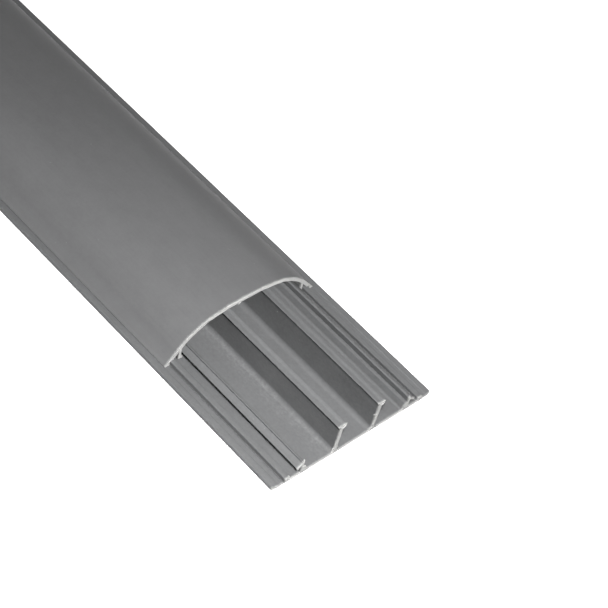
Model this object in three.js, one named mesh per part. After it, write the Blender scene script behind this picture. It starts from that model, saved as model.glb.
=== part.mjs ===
// Floor cord cover: a length of rigid plastic floor trunking, lying flat on its base.
// Two extruded pieces, in millimetres: X across the cover, Y along it, Z up.
// The origin is on the underside of the base, halfway along it and halfway across.
// The near end, at -Y, shows the base's ribs where the clipped lid stops short.
import * as THREE from 'three';

// Overall size.
const LENGTH = 2000;
const WIDTH = 75;
const HEIGHT = 18.2;
const LID_SETBACK = 61; // bare base in front of the lid at the near end
const PLAY = 0.3; // room left between parts of the lid and the base

// Base plate.
const FLOOR = 2; // thickness of the plate
const EDGE_ROUND = 1.2; // radius of the outer edge's top
const EDGE_UNDERCUT = 0.3; // small bevel under the edge
const FOOT_MARGIN = 2.6; // bare base outside the lid's foot
const EDGE_STEPS = 4;

// Lid: a shallow crown, a tighter shoulder on each side, and a straight skirt down to the base.
const WALL = 1.5;
const CROWN_RADIUS = 90; // inner face
const CROWN_HALF = 12.5; // half the width of the crown's inner face
const SKIRT_ANGLE = 50.7; // degrees from the level
const FOOT_WIDTH = 2.2;
const REBATE_WALL = 0.85; // thickness left beside the locating rib
const CROWN_STEPS = 5;
const SHOULDER_STEPS = 12;

// Locating ribs, in a rebate inside the lid's feet. Their outer corners slope as the skirt does.
const SMALL_RIB_WIDTH = 2.2;
const SMALL_RIB_TOP = 3.6;

// Hooked legs under the lid.
const LEG_GAP = 1.2; // between a leg and the locating rib outside it
const LEG_WIDTH = 1;
const LEG_LIFT = 0.6; // room under the leg
const BARB_REACH = 0.9;
const BARB_FLAT = 1.1; // upright nose of the barb
const BARB_RISE = 0.5; // slope on top of the barb

// Catch ribs: a flange slopes down and out from each stem, over the barb of the leg.
const CATCH_RUN = 2.3; // how far the flange stands out from its stem
const CATCH_WIDTH = 0.9; // thickness of the stem and of its lip
const CATCH_PLATE = 0.9; // thickness of the flange
const CATCH_LOW = 5.1; // height of the flange's low edge
const CATCH_TOP = 7.6; // height of the stem's lip
const CATCH_LIP = 0.6; // how far the lip stands above the flange
const CATCH_STEP = 0.7; // how much thicker the foot of the stem is, on its inner side
const CATCH_LEDGE = 4.7; // height of the ledge on that foot

// Partition ribs, which divide the cable space and end in caps just under the crown.
const PARTITION_X = 9.1;
const PARTITION_WIDTH = 1.2;
const PARTITION_FILLET = 2; // radius where the web runs into the floor
const CAP_WIDTH = 3.9;
const CAP_THICKNESS = 0.8;
const FILLET_STEPS = 4;

const BASE_COLOUR = 0x9a9b9b;
const LID_COLOUR = 0x8f9090;

function at(x, z) {
  return new THREE.Vector2(x, z);
}

// Where the parts stand across the base, worked inwards from the edge.
const edgeX = WIDTH / 2;
const footX = edgeX - FOOT_MARGIN;
const rebateX = footX - FOOT_WIDTH;
const smallRibOuter = rebateX - PLAY;
const smallRibInner = smallRibOuter - SMALL_RIB_WIDTH;
const legOuter = smallRibInner - LEG_GAP;
const legInner = legOuter - LEG_WIDTH;
const catchEdge = legInner - PLAY;
const stemOuter = catchEdge - CATCH_RUN;
const stemInner = stemOuter - CATCH_WIDTH;
const rebateZ = SMALL_RIB_TOP + PLAY;

// Crown and skirt are joined by the one round shoulder that runs into both without a corner.
// Their tangents meet at a bend, as far from the crown's end as from the skirt's top.
const crownCentre = at(0, HEIGHT - WALL - CROWN_RADIUS);
const crownAngle = Math.acos(CROWN_HALF / CROWN_RADIUS);
const skirtAngle = Math.PI / 2 - THREE.MathUtils.degToRad(SKIRT_ANGLE);
const crownNormal = at(Math.cos(crownAngle), Math.sin(crownAngle));
const skirtNormal = at(Math.cos(skirtAngle), Math.sin(skirtAngle));
const crownEnd = crownCentre.clone().addScaledVector(crownNormal, CROWN_RADIUS + WALL);
const crownToFoot = at(footX, FLOOR).sub(crownEnd);
const bendAngle = crownAngle - skirtAngle;
const crownToBend = crownToFoot.dot(skirtNormal) / Math.sin(bendAngle);
const outerShoulder = crownToBend / Math.tan(bendAngle / 2);
const innerShoulder = outerShoulder - WALL;
const shoulderCentre = crownEnd.clone().addScaledVector(crownNormal, -outerShoulder);

// Place across the base of a face inside the skirt and parallel to it, at a height.
function skirtInside(z, depth) {
  const foot = at(footX, FLOOR).addScaledVector(skirtNormal, -depth);
  return foot.x - ((z - foot.y) * skirtNormal.y) / skirtNormal.x;
}

// Height of that face at a place across the base.
function skirtHeight(x, depth) {
  const foot = at(footX, FLOOR).addScaledVector(skirtNormal, -depth);
  return foot.y + ((foot.x - x) * skirtNormal.x) / skirtNormal.y;
}

// Height of the lid's inner face above a place across the base.
function skinHeight(x) {
  const onCrown = x < CROWN_HALF;
  const centre = onCrown ? crownCentre : shoulderCentre;
  const radius = onCrown ? CROWN_RADIUS : innerShoulder;
  return centre.y + Math.sqrt(radius ** 2 - (x - centre.x) ** 2);
}

// Points along a round stretch, both ends included.
function arc(centre, radius, from, to, steps) {
  const points = [];
  for (let i = 0; i <= steps; i += 1) {
    const angle = from + ((to - from) * i) / steps;
    points.push(at(centre.x + radius * Math.cos(angle), centre.y + radius * Math.sin(angle)));
  }
  return points;
}

// Plate edge and locating rib.
function edgeOutline() {
  const round = at(edgeX - EDGE_ROUND, FLOOR - EDGE_ROUND);
  return [
    at(edgeX - EDGE_UNDERCUT, 0),
    at(edgeX, EDGE_UNDERCUT),
    ...arc(round, EDGE_ROUND, 0, Math.PI / 2, EDGE_STEPS),
    at(smallRibOuter, FLOOR),
    at(smallRibOuter, skirtHeight(smallRibOuter, REBATE_WALL + PLAY)),
    at(skirtInside(SMALL_RIB_TOP, REBATE_WALL + PLAY), SMALL_RIB_TOP),
    at(smallRibInner, SMALL_RIB_TOP),
    at(smallRibInner, FLOOR),
  ];
}

// Catch rib, from the outside of its stem over the flange and the lip to the floor inside it.
function catchOutline() {
  const low = at(catchEdge, CATCH_LOW);
  const high = at(stemOuter, CATCH_TOP - CATCH_LIP);
  const along = high.clone().sub(low).normalize();
  const under = low.clone().addScaledVector(at(-along.y, along.x), CATCH_PLATE);
  const rise = ((under.x - stemOuter) * along.y) / -along.x;
  return [
    at(stemOuter, FLOOR),
    at(stemOuter, under.y + rise),
    under,
    low,
    high,
    at(stemOuter, CATCH_TOP),
    at(stemInner, CATCH_TOP),
    at(stemInner, CATCH_LEDGE),
    at(stemInner - CATCH_STEP, CATCH_LEDGE),
    at(stemInner - CATCH_STEP, FLOOR),
  ];
}

// Partition rib, from the outside foot of the web to the inside one. The cap slopes as the crown
// does, on a line just under the lid's inner face.
function partitionOutline() {
  const webOuter = PARTITION_X + PARTITION_WIDTH / 2;
  const webInner = PARTITION_X - PARTITION_WIDTH / 2;
  const outerTop = at(PARTITION_X + CAP_WIDTH / 2, 0);
  const innerTop = at(PARTITION_X - CAP_WIDTH / 2, 0);
  outerTop.y = skinHeight(outerTop.x) - PLAY;
  innerTop.y = skinHeight(innerTop.x) - PLAY;
  const slope = (outerTop.y - innerTop.y) / CAP_WIDTH;
  const under = (x) => innerTop.y + (x - innerTop.x) * slope - CAP_THICKNESS;
  const filletZ = FLOOR + PARTITION_FILLET;
  const outerFillet = at(webOuter + PARTITION_FILLET, filletZ);
  const innerFillet = at(webInner - PARTITION_FILLET, filletZ);
  return [
    ...arc(outerFillet, PARTITION_FILLET, -Math.PI / 2, -Math.PI, FILLET_STEPS),
    at(webOuter, under(webOuter)),
    at(outerTop.x, under(outerTop.x)),
    outerTop,
    innerTop,
    at(innerTop.x, under(innerTop.x)),
    at(webInner, under(webInner)),
    ...arc(innerFillet, PARTITION_FILLET, 0, -Math.PI / 2, FILLET_STEPS),
  ];
}

// The lid's foot, rebated round the locating rib.
function footOutline() {
  return [
    at(footX, FLOOR),
    at(rebateX, FLOOR),
    at(rebateX, skirtHeight(rebateX, REBATE_WALL)),
    at(skirtInside(rebateZ, REBATE_WALL), rebateZ),
    at(skirtInside(rebateZ, WALL), rebateZ),
  ];
}

// The lid's leg, with its barb pointing in under the catch flange.
function legOutline() {
  const foot = FLOOR + LEG_LIFT;
  const nose = foot + BARB_FLAT;
  return [
    at(legOuter, skinHeight(legOuter)),
    at(legOuter, foot),
    at(legInner - BARB_REACH, foot),
    at(legInner - BARB_REACH, nose),
    at(legInner, nose + BARB_RISE),
  ];
}

// Right half of the lid's section, from the top of the crown round to its inner face.
function lidOutline() {
  const top = Math.PI / 2;
  const legAngle = Math.acos((legInner - shoulderCentre.x) / innerShoulder);
  return [
    ...arc(crownCentre, CROWN_RADIUS + WALL, top, crownAngle, CROWN_STEPS),
    ...arc(shoulderCentre, outerShoulder, crownAngle, skirtAngle, SHOULDER_STEPS).slice(1),
    ...footOutline(),
    ...legOutline(),
    ...arc(shoulderCentre, innerShoulder, legAngle, crownAngle, SHOULDER_STEPS),
    ...arc(crownCentre, CROWN_RADIUS, crownAngle, top, CROWN_STEPS).slice(1),
  ];
}

// Whole section from its right half, with points on the middle line kept once.
function mirrored(half) {
  const other = half.filter((p) => p.x > 1e-6).map((p) => at(-p.x, p.y)).reverse();
  return new THREE.Shape([...half, ...other]);
}

// A section drawn in X and Z, drawn out along Y between two places.
function extrusion(name, shape, from, to, colour) {
  const geometry = new THREE.ExtrudeGeometry(shape, { depth: to - from, bevelEnabled: false });
  geometry.rotateX(Math.PI / 2);
  geometry.translate(0, to, 0);
  const material = new THREE.MeshStandardMaterial({ color: colour, roughness: 0.6, metalness: 0 });
  const mesh = new THREE.Mesh(geometry, material);
  mesh.name = name;
  return mesh;
}

const nearEnd = -LENGTH / 2;
const farEnd = LENGTH / 2;
const baseShape = mirrored([...edgeOutline(), ...catchOutline(), ...partitionOutline()]);
const lidShape = mirrored(lidOutline());

const cover = new THREE.Group();
cover.add(extrusion('base_channel', baseShape, nearEnd, farEnd, BASE_COLOUR));
cover.add(extrusion('clip_lid', lidShape, nearEnd + LID_SETBACK, farEnd, LID_COLOUR));

export default cover;
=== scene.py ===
"""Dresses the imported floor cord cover: two grey plastic extrusions lying on a pale floor.

The base is a flat plate with ribs. The arched lid is clipped over it and stops short of the
near end, so the sawn ends of both show. Sizes are in metres, on the frame's own axes: X across
the cover, Y along it, Z up, and the origin under the middle of the base.
"""

import math

import bpy
import numpy as np
from bpy.props import FloatProperty, FloatVectorProperty, PointerProperty
from mathutils import Matrix, Vector
from mathutils.geometry import tessellate_polygon


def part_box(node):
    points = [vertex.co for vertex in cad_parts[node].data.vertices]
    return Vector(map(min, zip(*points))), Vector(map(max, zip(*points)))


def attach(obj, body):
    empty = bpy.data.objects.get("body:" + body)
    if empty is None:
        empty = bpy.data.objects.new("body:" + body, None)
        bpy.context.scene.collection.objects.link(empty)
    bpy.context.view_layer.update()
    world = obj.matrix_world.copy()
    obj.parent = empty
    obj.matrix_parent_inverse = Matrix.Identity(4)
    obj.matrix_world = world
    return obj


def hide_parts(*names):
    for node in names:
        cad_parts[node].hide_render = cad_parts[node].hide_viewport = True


bl_info = {
    "name": "Floor Cord Cover",
    "version": (1, 0, 0),
    "blender": (4, 5, 0),
    "location": "3D View > Sidebar > Cord Cover",
    "description": "Builds the base, the lid and the studio of a floor cord cover",
    "category": "Object",
}

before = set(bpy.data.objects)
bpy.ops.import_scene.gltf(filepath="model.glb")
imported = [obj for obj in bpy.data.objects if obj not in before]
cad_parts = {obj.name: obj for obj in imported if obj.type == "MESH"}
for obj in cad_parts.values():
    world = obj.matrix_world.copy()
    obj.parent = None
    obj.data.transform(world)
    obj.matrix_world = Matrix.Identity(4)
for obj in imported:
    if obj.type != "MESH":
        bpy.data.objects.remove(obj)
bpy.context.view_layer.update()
BASE_LOW, BASE_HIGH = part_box("base_channel")
LID_LOW, LID_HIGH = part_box("clip_lid")
MM = 0.001

# How far beside its middle a partition's own points lie: its fillets and its cap.
WEB_REACH = 6 * MM

# Distances behind a sawn end where rows of points stand, in millimetres: those close to the cut,
# then start, stop and step of the even ones, then first, last and count of the ever wider ones.
CUT_ROWS = (0, 0.07, 0.16, 0.3, 0.55, 0.9, 1.4, 2.2, 3.4)
EVEN_ROWS = (6, 330, 8)
WIDE_ROWS = (345, 900, 9)

# Wavelengths of the smooth noises, in millimetres.
NEAR_RAGGED = (0.9, 1.7, 2.9, 6.1)
FAR_RAGGED = (1.1, 2.1, 3.7, 5.3)
LEAN_WAVES = (61, 97, 158)
WAVER = (2.3, 3.9, 7.7)

# How far the near end's bow and the set-back of its chips reach along the cover.
BOW_REACH = 3 * MM
CHIP_REACH = 2.2 * MM

# Bow of the left partition, in millimetres: depth, half-width, height of its middle, half-height.
WEB_BOW = (0.7, 1.6, 8, 3.2)

# How the burr and the worn edge fade behind a sawn end: distances, and the share at each.
BURR_FADE = np.array([0, 0.07, 0.3, 0.9]) * MM, (0.75, 1, 0.35, 0)
WORN_FADE = np.array([0, 0.07, 0.16]) * MM, (1, 0.3, 0)

# The ribs' lean starts at the first height and is full at a height greater by the second.
LEAN_LOW = 2.5 * MM
LEAN_RISE = 8 * MM

# How whitened the moulded skin is beside a sawn face, where that face counts as one.
SKIN_WHITENED = 0.75

# How much darker the painted shadow under a cap is than the painted shade on a plain upright
# face, and the angle from which an edge is shaded as a sharp one.
CAP_SHADOW = 2.4
SHARP_ANGLE = math.radians(40)

# A four-sided face's points taken the other way round, from the same first one.
OTHER_WAY = [0, 3, 2, 1]


def length(name, description, millimetres):
    return FloatProperty(
        name=name,
        description=description,
        default=millimetres * MM,
        min=0.0,
        subtype="DISTANCE",
        unit="LENGTH",
        precision=5,
    )


def turn(name, description, degrees):
    return FloatProperty(
        name=name,
        description=description,
        default=math.radians(degrees),
        subtype="ANGLE",
        unit="ROTATION",
    )


def share(name, description, default, top=1.0):
    return FloatProperty(name=name, description=description, default=default, min=0.0, max=top)


def colour(name, description, default):
    return FloatVectorProperty(
        name=name, description=description, default=default, min=0.0, max=1.0, subtype="COLOR"
    )


class CoverSection(bpy.types.PropertyGroup):
    """Sizes of the two sections and their fine relief."""

    floor: length("Floor", "Thickness of the base plate", 2)
    edge_round: length("Edge round", "Radius along the top of the outer edge", 0.6)
    edge_undercut: length("Edge undercut", "Small bevel under the outer edge", 0.3)
    foot_margin: length("Margin", "Bare base outside the lid's foot", 2.6)
    play: length("Play", "Room between parts of the lid and the base", 0.3)
    wall: length("Lid wall", "Thickness of the lid", 1.5)
    crown_radius: length("Crown radius", "Inner radius of the lid's crown", 90)
    crown_half: length("Crown half", "Half the width of the crown", 12.5)
    skirt_angle: turn("Skirt angle", "Slope of the lid's skirt from the level", 50.7)
    foot_width: length("Foot width", "Width of the lid's foot", 2.2)
    rebate_wall: length("Rebate wall", "Lid thickness beside the locating rib", 0.85)
    small_rib_width: length("Locating rib", "Width of the locating rib", 2.2)
    small_rib_top: length("Locating rib top", "Height of the locating rib", 3.6)
    leg_gap: length("Leg gap", "Room between the leg and the locating rib", 1.2)
    leg_width: length("Leg", "Thickness of the lid's leg", 1)
    leg_lift: length("Leg lift", "Room under the leg", 0.6)
    barb_reach: length("Barb reach", "How far the leg's barb stands out", 0.9)
    barb_flat: length("Barb nose", "Height of the barb's upright nose", 1.1)
    barb_rise: length("Barb rise", "Height of the slope on the barb", 0.5)
    catch_run: length("Catch run", "How far the catch flange stands out", 2.3)
    catch_width: length("Catch stem", "Thickness of the catch rib's stem", 0.9)
    catch_plate: length("Catch flange", "Thickness of the catch flange", 0.9)
    catch_low: length("Catch low edge", "Height of the flange's low edge", 5.65)
    catch_top: length("Catch top", "Height of the catch rib's lip", 7.6)
    catch_lip: length("Catch lip", "How far the lip stands above the flange", 0.6)
    catch_step: length("Catch step", "How much thicker the stem's foot is, inside", 0.85)
    catch_ledge: length("Catch ledge", "Height of the ledge on the stem's foot", 4.75)
    catch_fillet: length("Catch fillet", "Radius where the catch's stem runs into the floor", 1.1)
    catch_draft: length("Catch draft", "How much wider that foot is at the floor", 0.8)
    catch_groove: length("Catch groove", "Depth of the groove over the ledge", 0.25)
    web_x: length("Partition place", "Middle of the partition rib, from the cover's middle", 9.1)
    web_width: length("Partition", "Thickness of the partition rib", 1.2)
    web_fillet: length("Partition fillet", "Radius where the partition runs into the floor", 2)
    left_set: length("Left set", "How far the left partition's foot stands to the left", 0.45)
    right_set: length("Right set", "How far the right partition's foot stands to the left", 1.2)
    # Painted shadow under each partition's cap: the height where the dark paint starts, and how far
    # it runs up.
    cap_shadow_low: length("Grime", "Height from which the partition is dirty, under its cap", 13.3)
    cap_shadow_reach: length("Grime reach", "How far the dirt runs on up", 2)
    cap_width: length("Cap", "Width of the partition's cap", 3.4)
    cap_thickness: length("Cap thickness", "Thickness of the partition's cap", 0.8)
    cap_edge: length("Cap edge", "Thickness of the cap at its edges", 0.3)
    cap_sink: length("Cap sink", "Depth of the hollow along the cap, over the partition", 0.2)
    seat_step: length("Seat step", "Fall of the plate's top inside the margin", 0.14)
    foot_groove: length("Foot groove", "Depth of the groove beside the locating rib", 0.45)


class CoverEnds(bpy.types.PropertyGroup):
    """How the extrusions run and how their ends were sawn."""

    lean: length("Lean", "How far the ribs wander sideways along the cover", 0.05)
    chamfer: length("Chamfer", "Worn edge round a sawn end", 0.07)
    burr: length("Burr", "Tallest ragged edge left round a sawn end", 0.28)
    whitened: length("Whitened", "How far the plastic is whitened behind a sawn end", 1.8)


class CoverFinish(bpy.types.PropertyGroup):
    """Colours and gloss of the plastic."""

    base: colour("Base", "Plastic of the base", (0.150, 0.152, 0.154))
    lid: colour("Lid", "Plastic of the lid", (0.154, 0.155, 0.157))
    sawn: colour("Sawn plastic", "Whitened plastic on sawn faces", (0.46, 0.46, 0.45))
    # Also the colour of the painted light on the floor beside the partitions.
    scuff_and_light: colour("Scuff", "Pale scuffs and specks", (0.30, 0.30, 0.30))
    specular: share("Specular", "How strongly the surface mirrors", 0.2)
    roughness: share("Roughness", "Roughness of the moulded skin", 0.56)
    sawn_roughness: share("Sawn roughness", "Roughness of a sawn face", 0.75)
    mottle: share("Mottle", "Strength of the faint clouds in the colour", 0.10)
    base_grain: share("Base grain", "Strength of the fine grain in the base's colour", 0.30)
    lid_grain: share("Lid grain", "Strength of the fine grain in the lid's colour", 0.12)
    # Painted light: a pale, patchy brightening painted on the floor beside each partition's foot.
    floor_light: share("Dust", "How much pale dust lies beside the partitions", 0.35)
    # Painted shade: upright faces inside the base are painted darker, the more so higher up.
    upright: share("Upright", "How much darker the skin of the base's upright faces is", 0.3)
    lines: share("Lines", "Strength of the drawn lines along the cover", 0.05)


class CoverStage(bpy.types.PropertyGroup):
    """Floor, light and camera."""

    floor: colour("Floor", "Colour of the floor", (0.93, 0.93, 0.93))
    key: FloatProperty(
        name="Key", description="Power shared by the soft lights", default=1.0, unit="POWER"
    )
    world: share("World", "Strength of the light from all round", 0.02, 5.0)
    glow: share("Glow", "How much the floor and wall shine by themselves", 0.95, 5.0)
    sweep_reach: length("Sweep reach", "How far the floor runs level", 10000)
    sweep_round: length("Sweep round", "Radius from the floor into the wall", 4000)
    elevation: turn("Elevation", "How far the camera looks down", 46.94)
    heading: turn("Heading", "Way the camera faces, from +Y towards +X", 52.3)
    roll: turn("Roll", "Turn of the camera about its own view", 14.43)
    lens: FloatProperty(name="Lens", description="Focal length", default=116.8, unit="CAMERA")
    distance: length("Distance", "From the camera to the near end's middle, along the view", 676)
    aim_right: length("Aim right", "Near end's middle, right of the picture's middle", 17.2)
    aim_down: length("Aim down", "Near end's middle, below the picture's middle", 47.6)


# Sections: closed outlines in X and Z.


def arc(centre, radius, start, stop, count):
    """Points on a circle at even angles, both ends included."""
    angle = np.linspace(start, stop, count)
    return np.stack([centre[0] + radius * np.cos(angle), centre[1] + radius * np.sin(angle)], 1)


def corners(rows):
    """Rows of x, z and reach, from single corners and from arrays of points with no reach."""
    blocks = [np.atleast_2d(row) for row in rows]
    return np.concatenate([b if b.shape[1] == 3 else np.pad(b, ((0, 0), (0, 1))) for b in blocks])


def eased(rows, steps=3):
    """Outline with its corners eased. A corner C gives the curve (1-s)(1-s)P + 2s(1-s)C + ssQ for
    s from 0 to 1, where P and Q lie its reach from C along its two edges, and never past 45% of
    them. A corner with no reach stays one point."""
    corner, reach = rows[:, :2], rows[:, 2]
    back = np.roll(corner, 1, 0) - corner
    onward = np.roll(corner, -1, 0) - corner
    back_length = np.linalg.norm(back, axis=1)
    onward_length = np.linalg.norm(onward, axis=1)
    reach = np.minimum(reach, 0.45 * np.minimum(back_length, onward_length))
    first = corner + back * (reach / back_length)[:, None]
    last = corner + onward * (reach / onward_length)[:, None]
    s = np.linspace(0, 1, steps + 1)[None, :, None]
    curve = (1 - s) ** 2 * first[:, None] + 2 * s * (1 - s) * corner[:, None] + s**2 * last[:, None]
    keep = (reach[:, None] > 0) | (np.arange(steps + 1)[None, :] == 0)
    return curve[keep]


def mirrored(half):
    """Whole section from the rows of its right half; a point on the middle line is kept once."""
    other = half[half[:, 0] > 1e-6][::-1] * (-1, 1, 1)
    return np.concatenate([half, other])


class Plan:
    """Where the parts of the section stand, worked inwards from the edge, and the lid's curves."""

    def __init__(self, s):
        self.edge = BASE_HIGH.x
        self.foot = self.edge - s.foot_margin
        self.rebate = self.foot - s.foot_width
        self.rib_outer = self.rebate - s.play
        self.rib_inner = self.rib_outer - s.small_rib_width
        self.leg_outer = self.rib_inner - s.leg_gap
        self.leg_inner = self.leg_outer - s.leg_width
        self.catch_edge = self.leg_inner - s.play
        self.stem_outer = self.catch_edge - s.catch_run
        self.stem_inner = self.stem_outer - s.catch_width
        self.rebate_z = s.small_rib_top + s.play
        self.crown_centre = np.array([0, LID_HIGH.z - s.wall - s.crown_radius])
        self.crown_angle = math.acos(s.crown_half / s.crown_radius)
        self.skirt_angle = math.pi / 2 - s.skirt_angle
        crown_normal = np.array([math.cos(self.crown_angle), math.sin(self.crown_angle)])
        self.skirt_normal = np.array([math.cos(self.skirt_angle), math.sin(self.skirt_angle)])
        crown_end = self.crown_centre + crown_normal * (s.crown_radius + s.wall)
        bend = self.crown_angle - self.skirt_angle
        self.foot_point = np.array([self.foot, s.floor])
        to_bend = (self.foot_point - crown_end) @ self.skirt_normal / math.sin(bend)
        self.outer_shoulder = to_bend / math.tan(bend / 2)
        self.inner_shoulder = self.outer_shoulder - s.wall
        self.shoulder_centre = crown_end - crown_normal * self.outer_shoulder
        self.crown_radius = s.crown_radius
        self.crown_half = s.crown_half

    def skirt_inside(self, z, depth):
        """Place at a height of a face inside the skirt and parallel to it."""
        foot = self.foot_point - self.skirt_normal * depth
        return foot[0] - (z - foot[1]) * self.skirt_normal[1] / self.skirt_normal[0]

    def skirt_height(self, x, depth):
        """Height of that face at a place across the base."""
        foot = self.foot_point - self.skirt_normal * depth
        return foot[1] + (foot[0] - x) * self.skirt_normal[0] / self.skirt_normal[1]

    def skin(self, x):
        """Height of the lid's inner face above a place across the base."""
        on_crown = x < self.crown_half
        centre = self.crown_centre if on_crown else self.shoulder_centre
        radius = self.crown_radius if on_crown else self.inner_shoulder
        return centre[1] + math.sqrt(radius**2 - (x - centre[0]) ** 2)


def base_outline(s):
    """Base section: edge, locating rib, catch rib and partition rib with its cap, and the mirror.
    Each partition leans: its foot stands aside by its set, its top not at all."""
    p = Plan(s)
    round_centre = (p.edge - s.edge_round, s.floor - s.edge_round)
    fine, soft = 0.12 * MM, 0.25 * MM
    edge = [
        (p.edge - s.edge_undercut, 0, fine),
        (p.edge, s.edge_undercut, fine),
        arc(round_centre, s.edge_round, 0, math.pi / 2, 8),
        (p.foot + 0.2 * MM, s.floor, fine),
        (p.foot - 0.2 * MM, s.floor - s.seat_step, fine),
        (p.rib_outer + 0.6 * MM, s.floor - s.seat_step, fine),
        (p.rib_outer + 0.1 * MM, s.floor - s.foot_groove, fine),
        (p.rib_outer, s.floor - s.foot_groove + 0.1 * MM, fine),
        (p.rib_outer, p.skirt_height(p.rib_outer, s.rebate_wall + s.play), soft),
        (p.skirt_inside(s.small_rib_top, s.rebate_wall + s.play), s.small_rib_top, soft),
        (p.rib_inner, s.small_rib_top, soft),
        (p.rib_inner, s.floor, soft),
    ]
    low = np.array([p.catch_edge, s.catch_low])
    high = np.array([p.stem_outer, s.catch_top - s.catch_lip])
    along = (high - low) / np.linalg.norm(high - low)
    under = low + np.array([-along[1], along[0]]) * s.catch_plate
    rise = (under[0] - p.stem_outer) * along[1] / -along[0]
    foot_inner = p.stem_inner - s.catch_step
    fillet_centre = (foot_inner - s.catch_draft - s.catch_fillet, s.floor + s.catch_fillet)
    catch = [
        (p.stem_outer, s.floor, 2 * soft),
        (p.stem_outer, under[1] + rise, fine),
        (*under, fine),
        (*low, soft),
        (*(low + 0.55 * (high - low)), 0),
        (*(high - along * 0.2 * MM), fine / 2),
        (high[0] + 0.05 * MM, high[1] - 0.06 * MM, fine / 2),
        (*(high + (0, 0.05 * MM)), fine / 2),
        (p.stem_outer, s.catch_top, soft),
        (p.stem_inner + 0.4 * MM, s.catch_top, fine),
        (p.stem_inner, s.catch_top - 0.22 * MM, fine),
        (p.stem_inner, s.catch_ledge + 1.1 * MM, fine),
        (p.stem_inner + s.catch_groove, s.catch_ledge + 0.9 * MM, fine),
        (p.stem_inner + s.catch_groove, s.catch_ledge, fine),
        (foot_inner, s.catch_ledge, soft),
        arc(fillet_centre, s.catch_fillet, 0, -math.pi / 2, 6),
    ]
    outer, inner = s.web_x + s.web_width / 2, s.web_x - s.web_width / 2
    cap_outer, cap_inner = s.web_x + s.cap_width / 2, s.web_x - s.cap_width / 2
    outer_top, inner_top = p.skin(cap_outer) - s.play, p.skin(cap_inner) - s.play
    outer_under, inner_under = outer_top - s.cap_thickness, inner_top - s.cap_thickness
    sink_half, quarter_fall = 0.25 * s.cap_width, 0.25 * (inner_top - outer_top)
    # Points where the painted shadow under the cap starts and where it is full.
    shadow_start, shadow_full = s.cap_shadow_low - 0.1 * MM, s.cap_shadow_low + 0.1 * MM
    lift = s.floor + s.web_fillet
    partition = [
        arc((outer + s.web_fillet, lift), s.web_fillet, -math.pi / 2, -math.pi, 7),
        (outer, shadow_start, 0),
        (outer, shadow_full, 0),
        (outer, outer_under, fine),
        (cap_outer, outer_top - s.cap_edge, fine),
        (cap_outer, outer_top, fine),
        (s.web_x + sink_half, outer_top + quarter_fall, sink_half / 2),
        (s.web_x, (outer_top + inner_top) / 2 - s.cap_sink, sink_half / 2),
        (s.web_x - sink_half, inner_top - quarter_fall, sink_half / 2),
        (cap_inner, inner_top, fine),
        (cap_inner, inner_top - s.cap_edge, fine),
        (inner, inner_under, fine),
        (inner, shadow_full, 0),
        (inner, shadow_start, 0),
        arc((inner - s.web_fillet, lift), s.web_fillet, 0, -math.pi / 2, 7),
    ]
    outline = eased(mirrored(corners([*edge, *catch, *partition])))
    x, z = outline.T
    near_web = np.abs(np.abs(x) - s.web_x) < WEB_REACH
    low = np.clip((inner_top - z) / (inner_top - s.floor), 0, 1) * near_web
    outline[:, 0] -= low * np.where(x > 0, s.right_set, s.left_set)
    return outline


def lid_outline(s):
    """Lid section: crown, shoulder, skirt, rebated foot and barbed leg, and the mirror."""
    p = Plan(s)
    top = math.pi / 2
    fine, soft = 0.1 * MM, 0.25 * MM
    foot = s.floor + s.leg_lift
    nose = foot + s.barb_flat
    leg_angle = math.acos((p.leg_inner - p.shoulder_centre[0]) / p.inner_shoulder)
    rows = [
        arc(p.crown_centre, s.crown_radius + s.wall, top, p.crown_angle, 9),
        arc(p.shoulder_centre, p.outer_shoulder, p.crown_angle, p.skirt_angle, 22)[1:],
        (p.foot, s.floor, soft),
        (p.rebate, s.floor, fine),
        (p.rebate, p.skirt_height(p.rebate, s.rebate_wall), fine),
        (p.skirt_inside(p.rebate_z, s.rebate_wall), p.rebate_z, fine),
        (p.skirt_inside(p.rebate_z, s.wall), p.rebate_z, fine),
        (p.leg_outer, p.skin(p.leg_outer), soft),
        (p.leg_outer, foot, soft),
        (p.leg_inner - s.barb_reach, foot, soft),
        (p.leg_inner - s.barb_reach, nose, soft),
        (p.leg_inner, nose + s.barb_rise, soft),
        arc(p.shoulder_centre, p.inner_shoulder, leg_angle, p.crown_angle, 18),
        arc(p.crown_centre, s.crown_radius, p.crown_angle, top, 9)[1:],
    ]
    return eased(mirrored(corners(rows)))


# Solids: a section carried along Y, with sawn ends, and the burrs that the saw left.


def ripple(place, waves, seed):
    """Smooth noise between -1 and 1 along a length: a sum of sines with fixed random phases."""
    rng = np.random.default_rng(seed)
    phase = rng.uniform(0, 2 * np.pi, len(waves))
    turns = 2 * np.pi * np.asarray(place)[..., None] / (np.asarray(waves) * MM)
    return np.sin(turns + phase).mean(-1)


def raggedness(around, waves, seed):
    """Height of the ragged edge between 0 and 1: 2.2 times the smooth noise, less 0.35, so that
    more than half of the edge stays clean."""
    return np.clip(ripple(around, waves, seed) * 2.2 - 0.35, 0, 1)


def outward(outline):
    """Unit normals of a closed outline, out of the plastic, from the run between its neighbours."""
    run = np.roll(outline, -1, 0) - np.roll(outline, 1, 0)
    onward = np.roll(outline, -1, 0)
    twice_area = np.sum(outline[:, 0] * onward[:, 1] - onward[:, 0] * outline[:, 1])
    normal = np.stack([run[:, 1], -run[:, 0]], 1) * np.sign(twice_area)
    return normal / np.linalg.norm(normal, axis=1)[:, None]


def stations():
    """Distances behind a sawn end: close together at the cut, even over the part that shows, then
    wider and wider."""
    return np.concatenate([CUT_ROWS, np.arange(*EVEN_ROWS), np.geomspace(*WIDE_ROWS)]) * MM


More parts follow.
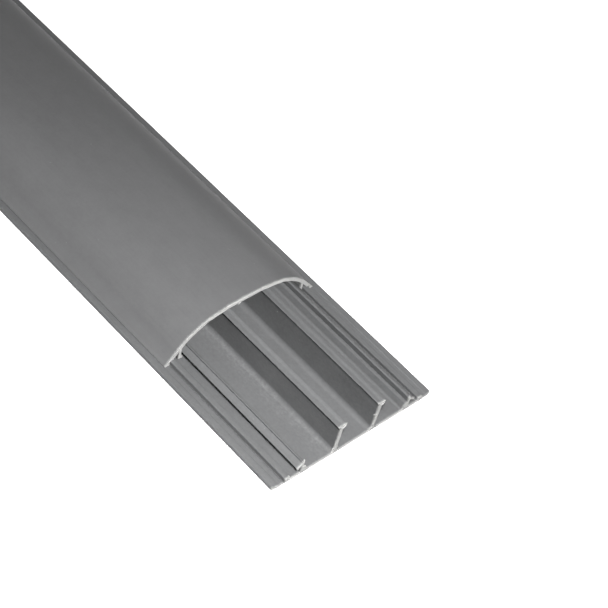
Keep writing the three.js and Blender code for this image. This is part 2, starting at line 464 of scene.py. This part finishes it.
def painted_shade_mask(outline, s):
    """Painted shade at each point, from how upright the face there is: the fourth power of its
    normal's part across the cover, left out on the plate's top and at the cover's sides, and more
    than full in the painted shadow under a partition's cap."""
    x, z = outline.T
    inside = (np.abs(x) < 0.45 * np.ptp(x)) & (z > s.floor + 0.2 * MM)
    beside_web = np.abs(np.abs(x) - s.web_x) < s.web_width / 2 + 0.2 * MM
    in_cap_shadow = beside_web & (z > s.cap_shadow_low) & (z < s.cap_shadow_low + s.cap_shadow_reach)
    return np.where(in_cap_shadow, CAP_SHADOW, outward(outline)[:, 0] ** 4 * inside)


def carried(outline, near, far, s, e, seed, chips, bow=0.0):
    """Outline carried along Y from the near end to the far one. Point i at station j stands at
    outline(i), plus its normal times the edge's raggedness at that distance from the saw cut, plus
    a sideways lean that grows with height and the bow of the near end, which fades as e to the
    minus distance over the bow's reach. Chips set the near end back. Returns points, four-sided
    faces, end triangles, how whitened each point is and the painted shade at each point, from how
    upright the face there is."""
    behind = stations()
    y = np.concatenate([near + behind, (far - behind)[::-1]])
    from_end = np.minimum(y - near, far - y)
    near_side = (y < (near + far) / 2)[:, None]
    count, rows = len(outline), len(y)
    normal = outward(outline)

    around = np.cumsum(np.linalg.norm(np.roll(outline, -1, 0) - outline, axis=1))
    near_ragged = raggedness(around, NEAR_RAGGED, seed)[None]
    far_ragged = raggedness(around, FAR_RAGGED, seed + 1)[None]
    up = np.clip(normal[:, 1] * 0.6 + 0.5, 0, 1)
    burr = np.where(near_side, near_ragged, far_ragged) * up[None] * e.burr
    worn = np.interp(from_end, *WORN_FADE)[:, None] * e.chamfer
    out = burr * np.interp(from_end, *BURR_FADE)[:, None] - worn

    height = np.clip((outline[:, 1] - LEAN_LOW) / LEAN_RISE, 0, 1)[None]
    slope = ripple(y[:, None] + outline[None, :, 0] * 9, LEAN_WAVES, seed + 2)
    bent = bow * np.exp(-(y - near) / BOW_REACH)[:, None]
    x = outline[None, :, 0] + normal[None, :, 0] * out + e.lean * height * slope + bent
    z = outline[None, :, 1] + normal[None, :, 1] * out
    depth = np.where(near_side, chipped(outline, chips)[None], 0)
    depth = depth * np.clip(1 - from_end / CHIP_REACH, 0, 1)[:, None]
    points = np.stack([x, y[:, None] + depth, z], -1).reshape(-1, 3)

    quads = ring_faces(rows, count)
    ends = np.array(tessellate_polygon([[Vector((a, b, 0)) for a, b in outline]]))
    caps = np.concatenate([points[:count], points[-count:]])
    start = len(points)
    points = np.concatenate([points, caps])
    ends = np.concatenate([start + ends, start + count + ends[:, ::-1]])
    whitened = np.clip(1 - from_end / e.whitened, 0, 1) ** 1.5
    fade = np.concatenate([np.repeat(whitened * SKIN_WHITENED, count), np.ones(2 * count)])
    return points, quads, ends, fade, np.tile(painted_shade_mask(outline, s), rows + 2)


def ring_faces(rings, around):
    """Four-sided faces between neighbouring rings of points, each ring closed on itself."""
    i, j = np.meshgrid(np.arange(around), np.arange(rings - 1))
    here, there = j * around, (j + 1) * around
    k = (i + 1) % around
    return np.stack([here + i, here + k, there + k, there + i], -1).reshape(-1, 4)


def chipped(outline, chips):
    """How far each point of a sawn edge is set back: a sum of bells, depth times e to the minus
    square of the distance over the half-width, and a slight waver."""
    middle, half, depth = np.array(chips).T
    bells = depth * np.exp(-(((outline[:, :1] / MM - middle) / half) ** 2))
    return (bells.sum(1) + 0.06 * (1 + ripple(outline[:, 0], WAVER, 5))) * MM


def web_bow(outline, s):
    """Sideways bow of the left partition at its sawn end: -depth times e to the -(a**8 + b**2),
    where a is the way across from its middle over the half-width, and b the height above the
    bow's middle over the half-height."""
    depth, half_width, middle, half_height = WEB_BOW
    x, z = outline.T / MM
    beside = (x + s.web_x / MM) / half_width
    return -depth * MM * np.exp(-(beside**8) - ((z - middle) / half_height) ** 2)


def tongue(root, bend, tip, wide, thick, rings=9, around=10):
    """Burr of torn plastic: an oval tube whose middle runs (1-t)(1-t)root + 2t(1-t)bend + tt tip,
    and whose half-widths shrink as the square root of 1-t to a closed point. Its width lies as
    nearly along Y as the run from root to tip allows."""
    root, bend, tip = (np.asarray(v, float) for v in (root, bend, tip))
    t = np.linspace(0, 1, rings)[:, None, None]
    a = np.linspace(0, 2 * np.pi, around, endpoint=False)[None, :, None]
    middle = (1 - t) ** 2 * root + 2 * t * (1 - t) * bend + t**2 * tip
    run = (tip - root) / np.linalg.norm(tip - root)
    across = np.array([0, 1, 0]) - run * run[1]
    across = across / np.linalg.norm(across)
    through = np.cross(run, across)
    size = np.sqrt(np.clip(1 - t, 0, 1)) * (1 - 0.35 * t)
    rim = middle + size * (np.cos(a) * across * wide / 2 + np.sin(a) * through * thick / 2)
    return rim.reshape(-1, 3) * MM, ring_faces(rings, around)[:, OTHER_WAY]


def torn(burrs, near):
    """Points, faces and whiteness of each burr of a list, at a sawn end's place along Y."""
    start = np.array([0, near / MM, 0])
    return [
        (*tongue(start + root, start + bend, start + tip, wide, thick), white)
        for root, bend, tip, wide, thick, white in burrs
    ]


def solid(name, shell, burrs, low, high, material, node):
    """One mesh object from a carried section and its burrs, kept inside the node's own box."""
    points, quads, ends, fade, upright_shade = shell
    for burr_points, burr_quads, white in burrs:
        quads = np.concatenate([quads, burr_quads + len(points)])
        points = np.concatenate([points, burr_points])
        fade = np.concatenate([fade, np.full(len(burr_points), white)])
        upright_shade = np.concatenate([upright_shade, np.zeros(len(burr_points))])
    points = np.clip(points, np.array(low), np.array(high))
    mesh = bpy.data.meshes.new(name)
    mesh.from_pydata(points.tolist(), [], quads.tolist() + ends.tolist())
    # The sawn attribute holds the whitening; the upright one holds the painted shade.
    for title, values in (("sawn", fade), ("upright", upright_shade)):
        made = mesh.attributes.new(title, "FLOAT", "POINT")
        made.data.foreach_set("value", values.astype(np.float32))
    mesh.polygons.foreach_set("use_smooth", np.arange(len(mesh.polygons)) < len(quads))
    mesh.set_sharp_from_angle(angle=SHARP_ANGLE)
    mesh.materials.append(material)
    mesh.validate()
    piece = bpy.data.objects.new(name, mesh)
    bpy.context.scene.collection.objects.link(piece)
    leading = piece.modifiers.new("flat_faces_lead", "WEIGHTED_NORMAL")
    leading.keep_sharp = True
    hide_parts(node)
    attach(piece, "root")
    return piece


# Materials.


class Value:
    """One socket's number; arithmetic on it adds Math nodes."""

    def __init__(self, shader, socket):
        self.shader = shader
        self.socket = socket

    def __add__(self, other):
        return self.shader.maths("ADD", self, other)

    def __radd__(self, other):
        return self.shader.maths("ADD", other, self)

    def __sub__(self, other):
        return self.shader.maths("SUBTRACT", self, other)

    def __rsub__(self, other):
        return self.shader.maths("SUBTRACT", other, self)

    def __mul__(self, other):
        return self.shader.maths("MULTIPLY", self, other)

    def __rmul__(self, other):
        return self.shader.maths("MULTIPLY", other, self)

    def rise(self, low, high):
        """0 below low, 1 above high and a straight rise between; falls where low is above high."""
        inputs = {"Value": self, "From Min": low, "From Max": high}
        return self.shader.node("ShaderNodeMapRange", {"clamp": True}, inputs)


class Shader:
    """Builds one material's nodes."""

    def __init__(self, name):
        self.material = bpy.data.materials.new(name)
        self.material.use_nodes = True
        self.tree = self.material.node_tree
        self.surface = self.tree.nodes["Principled BSDF"]

    def feed(self, socket, value):
        if isinstance(value, Value):
            self.tree.links.new(value.socket, socket)
        else:
            socket.default_value = value

    def node(self, kind, settings=None, inputs=None, output=0):
        """Adds a node: its settings first, then its sockets, and gives back one output."""
        made = self.tree.nodes.new(kind)
        for key, value in (settings or {}).items():
            setattr(made, key, value)
        for key, value in (inputs or {}).items():
            self.feed(made.inputs[key], value)
        return Value(self, made.outputs[output])

    def maths(self, operation, first, second):
        return self.node("ShaderNodeMath", {"operation": operation}, {0: first, 1: second})

    def stretched(self, per_millimetre):
        """Object coordinates times three numbers of cells per millimetre."""
        place = self.node("ShaderNodeTexCoord", output="Object")
        cells = [c / MM for c in per_millimetre]
        return self.node("ShaderNodeVectorMath", {"operation": "MULTIPLY"}, {0: place, 1: cells})

    def noise(self, per_millimetre, detail, rough=0.5):
        place = self.stretched(per_millimetre)
        inputs = {"Vector": place, "Scale": 1.0, "Detail": detail, "Roughness": rough}
        return self.node("ShaderNodeTexNoise", None, inputs)

    def specks(self, per_millimetre, size, kept, turned=0.0):
        """Small ovals, one in each kept cell: where a cell's point is nearer than size."""
        inputs = {"Vector": self.stretched((1, 1, 1)), "Angle": turned}
        place = self.node("ShaderNodeVectorRotate", {"rotation_type": "Z_AXIS"}, inputs)
        inputs = {0: place, 1: per_millimetre}
        place = self.node("ShaderNodeVectorMath", {"operation": "MULTIPLY"}, inputs)
        inputs = {"Vector": place, "Scale": 1.0, "Randomness": 1.0}
        near = self.node("ShaderNodeTexVoronoi", None, inputs, "Distance")
        draw = self.node("ShaderNodeTexVoronoi", None, inputs, "Color")
        draw = self.node("ShaderNodeSeparateXYZ", None, {"Vector": draw}, "X")
        return near.rise(size, size * 0.45) * draw.rise(1 - kept, 1 - kept + 0.02)

    def tinted(self, factor, tone):
        """A colour times a number."""
        grey = self.node("ShaderNodeCombineXYZ", None, {"X": factor, "Y": factor, "Z": factor})
        inputs = {0: grey, 1: tuple(tone)}
        return self.node("ShaderNodeVectorMath", {"operation": "MULTIPLY"}, inputs)

    def mix(self, factor, first, second):
        """Mixes two colours: the first where the factor is 0, the second where it is 1."""
        inputs = {"Factor": factor, 6: first, 7: second}
        return self.node("ShaderNodeMix", {"data_type": "RGBA"}, inputs, 2)


# Each pair runs from none to full: the heights over which the painted shade on upright faces
# grows, the places across where the painted floor light starts and ends beside a partition, and
# the heights down which it comes.
SHADE_RISE = (3 * MM, 14 * MM)
FLOOR_LIGHT_STARTS = (9.0 * MM, 10.5 * MM)
FLOOR_LIGHT_ENDS = (17 * MM, 12 * MM)
FLOOR_LIGHT_TOP = (4.2 * MM, 2.2 * MM)


def plastic(name, tone, grain_share, f):
    """Matt plastic: drawn lines along Y, faint clouds, fine grain, pale specks and scuffs, painted
    shade on upright faces and painted light on the floor beside the partitions; on sawn faces it
    turns whitened, with saw marks and pits."""
    shader = Shader(name)
    sawn = shader.node("ShaderNodeAttribute", {"attribute_name": "sawn"}, output="Fac")
    clouds = shader.noise((0.035, 0.012, 0.035), 3, 0.55)
    blotches = shader.noise((0.22, 0.16, 0.22), 3, 0.6)
    grain = shader.noise((1.1, 0.8, 1.1), 2, 0.7)
    drawn = shader.noise((1.1, 0.0035, 1.1), 3, 0.6)
    drawn_fine = shader.noise((5.0, 0.012, 5.0), 2, 0.6)
    scuffs = shader.specks((0.55, 0.07, 0.55), 0.085, 0.10, math.radians(24))
    scuffs2 = shader.specks((0.50, 0.06, 0.50), 0.075, 0.08, math.radians(-38))
    specks = shader.specks((0.23, 0.23, 0.23), 0.075, 0.16)
    saw = shader.noise((0.5, 6.0, 4.5), 3, 0.6)
    pits = shader.noise((2.2, 2.2, 2.2), 3, 0.6)

    place = shader.node("ShaderNodeTexCoord", output="Object")
    x = shader.node("ShaderNodeSeparateXYZ", None, {"Vector": place}, "X")
    across = shader.maths("ABSOLUTE", x, 0.0)
    height = shader.node("ShaderNodeSeparateXYZ", None, {"Vector": place}, "Z")

    # Painted shade: upright faces are painted darker, the more so higher up, and darkest in the
    # painted shadow under a cap.
    upright = shader.node("ShaderNodeAttribute", {"attribute_name": "upright"}, output="Fac")
    tone_and_shade = (
        1.0
        - upright * (0.8 + 0.5 * height.rise(*SHADE_RISE)) * f.upright
        + (clouds - 0.5) * (2.2 * f.mottle)
        + (blotches - 0.5) * (1.6 * f.mottle)
        + (grain - 0.5) * grain_share
        + (drawn - 0.5) * (2.0 * f.lines)
        + (drawn_fine - 0.5) * (1.2 * f.lines)
    )
    skin = shader.tinted(tone_and_shade, tone)
    marks = shader.maths("MAXIMUM", scuffs * 0.35, scuffs2 * 0.3)
    marks = shader.maths("MAXIMUM", marks, specks * 0.55)
    # Painted light: pale patches painted on the floor beside each partition's foot, mixed in with
    # the scuffs.
    beside = across.rise(*FLOOR_LIGHT_ENDS) * across.rise(*FLOOR_LIGHT_STARTS) * height.rise(*FLOOR_LIGHT_TOP)
    floor_light = beside * grain.rise(0.42, 0.75) * blotches.rise(0.3, 0.6) * f.floor_light
    marks = shader.maths("MAXIMUM", marks, floor_light)
    skin = shader.mix(marks, skin, (*f.scuff_and_light, 1))

    rough_face = 1.0 + (pits - 0.5) * 0.55 + (saw - 0.5) * 0.5
    face = shader.tinted(rough_face, f.sawn)
    ragged = (sawn + (pits - 0.5) * 0.5).rise(0.25, 0.8) * sawn.rise(0.0, 0.1)
    shader.feed(shader.surface.inputs["Base Color"], shader.mix(ragged, skin, face))
    shader.feed(shader.surface.inputs["Specular IOR Level"], f.specular)
    gloss = f.roughness + (blotches - 0.5) * 0.10 + (drawn - 0.5) * 0.12 + marks * 0.25
    gloss = gloss + ragged * (f.sawn_roughness - f.roughness)
    shader.feed(shader.surface.inputs["Roughness"], gloss)

    relief = drawn * 0.30 + drawn_fine * 0.12 + grain * 0.10 + blotches * 0.35 + marks * 0.3
    relief = relief * (1.0 - ragged) + (saw * 0.8 + pits * 0.8) * ragged
    inputs = {"Strength": 0.6, "Distance": 0.06 * MM, "Height": relief}
    shader.feed(shader.surface.inputs["Normal"], shader.node("ShaderNodeBump", None, inputs))
    return shader.material


def floor_finish(tone, glow):
    """Smooth pale floor with the faintest clouds."""
    shader = Shader("studio_floor")
    clouds = shader.noise((0.004, 0.004, 0.004), 2)
    tint = shader.mix(clouds, (*[c * 0.99 for c in tone], 1), (*tone, 1))
    shader.feed(shader.surface.inputs["Base Color"], tint)
    shader.feed(shader.surface.inputs["Roughness"], 0.9)
    shader.feed(shader.surface.inputs["Specular IOR Level"], 0.1)
    shader.feed(shader.surface.inputs["Emission Color"], (*tone, 1))
    shader.feed(shader.surface.inputs["Emission Strength"], glow)
    return shader.material


# Chips in the near edge: place across, half-width and depth, in millimetres.
BASE_CHIPS = ((-37.6, 0.8, 1.1), (37.6, 0.8, 1.2), (-30.0, 0.9, 0.2), (21.0, 1.5, 0.15))

# Burrs, in millimetres from the near end's middle: root, bend, tip, width, thickness, whiteness.
BASE_BURRS = (
    ((-7.5, 0.75, 15.1), (-6.7, 0.7, 14.4), (-7.2, 0.6, 11.9), 1.5, 0.3, 0),
    ((10.8, 0.75, 14.7), (11.5, 0.7, 13.9), (11.1, 0.6, 11.3), 1.5, 0.3, 0),
    ((-9.7, 0.3, 2.4), (-10.5, 0.2, 4.4), (-10.4, 0.3, 8.6), 1.3, 0.8, 1),
    ((-9.4, 0.25, 14.6), (-8.4, 0.15, 15.3), (-6.9, 0.3, 16.0), 0.8, 0.7, 1),
    ((-9.2, 0.25, 14.2), (-8.0, 0.15, 14.3), (-7.0, 0.3, 15.2), 0.6, 0.5, 1),
    ((8.9, 0.25, 14.6), (9.9, 0.15, 15.2), (11.1, 0.3, 15.3), 0.8, 0.7, 1),
    ((8.9, 0.25, 14.1), (10.0, 0.15, 14.1), (11.1, 0.3, 14.6), 0.6, 0.5, 1),
    ((-9.8, 0.4, 4.4), (-10.5, 0.3, 4.6), (-11.0, 0.4, 3.6), 1.2, 0.5, 0.8),
    ((-9.7, 0.4, 3.4), (-10.5, 0.3, 3.2), (-11.0, 0.4, 2.2), 1.3, 0.5, 0.8),
    ((-8.6, 0.3, 3.8), (-8.0, 0.2, 3.5), (-7.7, 0.3, 2.2), 0.7, 0.4, 1),
    ((8.6, 0.3, 9.6), (7.6, 0.3, 10.1), (6.7, 0.4, 10.2), 0.6, 0.3, 1),
    ((-24.9, 0.4, 7.0), (-24.8, 0.2, 8.3), (-25.0, 0.4, 9.0), 1.3, 0.9, 1),
    ((25.0, 0.4, 7.2), (24.9, 0.2, 8.0), (24.7, 0.4, 8.6), 1.0, 0.7, 1),
    ((27.2, 0.3, 5.3), (28.3, 0.2, 4.2), (29.0, 0.3, 2.4), 0.6, 0.4, 1),
    ((-31.2, 0.3, 3.4), (-31.1, 0.2, 4.0), (-30.9, 0.3, 4.7), 0.8, 0.6, 1),
    ((30.9, 0.3, 3.4), (30.8, 0.2, 3.9), (30.5, 0.3, 4.3), 0.7, 0.5, 1),
)


class COVER_OT_base(bpy.types.Operator):
    """Builds the ribbed base in place of its plain solid"""

    bl_idname = "cover.base"
    bl_label = "Base"

    def execute(self, context):
        scene = context.scene
        section, finish = scene.cover_section, scene.cover_finish
        outline = base_outline(section)
        low, high = BASE_LOW, BASE_HIGH
        bow = web_bow(outline, section)
        shell = carried(outline, low.y, high.y, section, scene.cover_ends, 11, BASE_CHIPS, bow)
        burrs = torn(BASE_BURRS, low.y)
        material = plastic("base_plastic_finish", finish.base, finish.base_grain, finish)
        solid("ribbed_base", shell, burrs, low, high, material, "base_channel")
        return {"FINISHED"}


LID_CHIPS = (
    (-8.15, 0.25, 0.5),
    (-7.07, 0.2, 0.4),
    (-2.05, 0.3, 0.6),
    (-17.0, 0.5, 0.3),
    (7.5, 0.7, 0.25),
    (18.0, 0.9, 0.3),
)
LID_BURRS = (
    ((-3.3, 0.25, 17.0), (-3.4, 0.15, 16.3), (-3.6, 0.2, 15.3), 0.8, 0.45, 1),
    ((-2.6, 0.25, 16.8), (-3.0, 0.15, 16.2), (-3.5, 0.2, 15.6), 0.6, 0.35, 1),
)


class COVER_OT_lid(bpy.types.Operator):
    """Builds the arched lid in place of its plain solid"""

    bl_idname = "cover.lid"
    bl_label = "Lid"

    def execute(self, context):
        scene = context.scene
        section, finish = scene.cover_section, scene.cover_finish
        outline = lid_outline(section)
        low, high = LID_LOW, LID_HIGH
        shell = carried(outline, low.y, high.y, section, scene.cover_ends, 23, LID_CHIPS)
        burrs = torn(LID_BURRS, low.y)
        material = plastic("lid_plastic_finish", finish.lid, finish.lid_grain, finish)
        solid("arched_lid", shell, burrs, low, high, material, "clip_lid")
        return {"FINISHED"}


def area_light(name, place, target, size, power):
    """Square light at a place, facing a target and unseen itself."""
    light = bpy.data.lights.new(name, "AREA")
    light.shape = "SQUARE"
    light.size = size
    light.energy = power
    lamp = bpy.data.objects.new(name, light)
    lamp.location = place
    lamp.rotation_euler = (Vector(target) - Vector(place)).to_track_quat("-Z", "Y").to_euler()
    lamp.visible_camera = False
    bpy.context.scene.collection.objects.link(lamp)


# Soft lights: name, place and target from a point just behind the near end, size and share of the
# power. The key lights the near end, and a row of overheads lights the rest of the length.
LIT_FROM = 30 * MM
SOFT_LIGHTS = (
    ("key_light", (-0.13, -0.13, 0.25), (0, 0, 0), 0.035, 1.62),
    ("front_light", (-0.06, -0.6, 0.14), (0, 0, 0), 0.2, 1.2),
    ("left_light", (-0.4, 0.4, 0.08), (0, 0.12, 0), 0.2, 0.6),
    ("first_overhead", (-0.1, 0.8, 0.5), (0, 0.8, 0), 0.4, 0.9),
    ("second_overhead", (-0.1, 1.3, 0.5), (0, 1.3, 0), 0.4, 1.8),
    ("third_overhead", (-0.1, 1.8, 0.5), (0, 1.8, 0), 0.4, 1.8),
)


def view_axes(elevation, heading, roll):
    """Right, up and back of a camera that faces heading, looks down by elevation and is rolled."""
    right = np.array([math.cos(heading), -math.sin(heading), 0])
    level = np.array([math.sin(heading), math.cos(heading), 0])
    ahead = level * math.cos(elevation) - np.array([0, 0, math.sin(elevation)])
    up = np.cross(right, ahead)
    turned_right = math.cos(roll) * right + math.sin(roll) * up
    turned_up = -math.sin(roll) * right + math.cos(roll) * up
    return turned_right, turned_up, -ahead


def sweep(reach, curve, around=64, rings=16):
    """Studio floor just under the cover: level out to reach, then turned up through a quarter
    circle of radius curve into a wall. A ring's points stand at (r cos a, r sin a, z)."""
    turned = np.linspace(0, math.pi / 2, rings)
    radius = np.concatenate([[0.001, reach / 2], reach + curve * np.sin(turned), [reach + curve]])
    height = np.concatenate([[0, 0], curve * (1 - np.cos(turned)), [3 * curve]]) - 0.1 * MM
    a = np.linspace(0, 2 * math.pi, around, endpoint=False)
    x, y = radius[:, None] * np.cos(a), radius[:, None] * np.sin(a)
    points = np.stack([x, y, np.broadcast_to(height[:, None], x.shape)], -1).reshape(-1, 3)
    return points, ring_faces(len(radius), around)[:, OTHER_WAY]


class COVER_OT_stage(bpy.types.Operator):
    """Builds the floor, the lights and the camera"""

    bl_idname = "cover.stage"
    bl_label = "Stage"

    def execute(self, context):
        scene = context.scene
        s = scene.cover_stage
        mesh = bpy.data.meshes.new("studio_floor")
        points, faces = sweep(s.sweep_reach, s.sweep_round)
        mesh.from_pydata(points.tolist(), [], faces.tolist())
        mesh.polygons.foreach_set("use_smooth", np.ones(len(faces), bool))
        mesh.materials.append(floor_finish(s.floor, s.glow))
        ground = bpy.data.objects.new("studio_floor", mesh)
        ground.visible_diffuse = False
        scene.collection.objects.link(ground)

        near = Vector((0, BASE_LOW.y + LIT_FROM, 0))
        for name, place, target, size, power in SOFT_LIGHTS:
            area_light(name, near + Vector(place), near + Vector(target), size, power * s.key)
        world = bpy.data.worlds.new("studio_world")
        scene.world = world
        world.use_nodes = True
        background = world.node_tree.nodes["Background"]
        background.inputs["Color"].default_value = (1, 1, 1, 1)
        background.inputs["Strength"].default_value = s.world
        scene.view_settings.view_transform = "Standard"

        right, up, back = view_axes(s.elevation, s.heading, s.roll)
        subject = np.array([0, BASE_LOW.y, 0])
        eye = subject - right * s.aim_right + up * s.aim_down + back * s.distance
        camera = bpy.data.cameras.new("camera")
        camera.lens = s.lens
        camera.sensor_width = 36
        camera.clip_start = 0.01
        viewer = bpy.data.objects.new("camera", camera)
        turned = Matrix(np.stack([right, up, back], 1).tolist()).to_4x4()
        viewer.matrix_world = Matrix.Translation(eye) @ turned
        scene.collection.objects.link(viewer)
        scene.camera = viewer
        return {"FINISHED"}


class COVER_PT_panel(bpy.types.Panel):
    """Buttons and sizes of the cord cover"""

    bl_idname = "COVER_PT_panel"
    bl_label = "Floor Cord Cover"
    bl_space_type = "VIEW_3D"
    bl_region_type = "UI"
    bl_category = "Cord Cover"

    def draw(self, context):
        layout = self.layout
        for operator in (COVER_OT_base, COVER_OT_lid, COVER_OT_stage):
            layout.operator(operator.bl_idname)
        for group in GROUPS:
            box = layout.box()
            for field in GROUPS[group].__annotations__:
                box.prop(getattr(context.scene, group), field)


GROUPS = {
    "cover_section": CoverSection,
    "cover_ends": CoverEnds,
    "cover_finish": CoverFinish,
    "cover_stage": CoverStage,
}
CLASSES = (
    *GROUPS.values(),
    COVER_OT_base,
    COVER_OT_lid,
    COVER_OT_stage,
    COVER_PT_panel,
)


def register():
    for cls in CLASSES:
        bpy.utils.register_class(cls)
    for name, group in GROUPS.items():
        setattr(bpy.types.Scene, name, PointerProperty(type=group))


def unregister():
    for name in GROUPS:
        delattr(bpy.types.Scene, name)
    for cls in reversed(CLASSES):
        bpy.utils.unregister_class(cls)


def main():
    register()
    bpy.ops.cover.base()
    bpy.ops.cover.lid()
    bpy.ops.cover.stage()


if __name__ == "__main__":
    main()
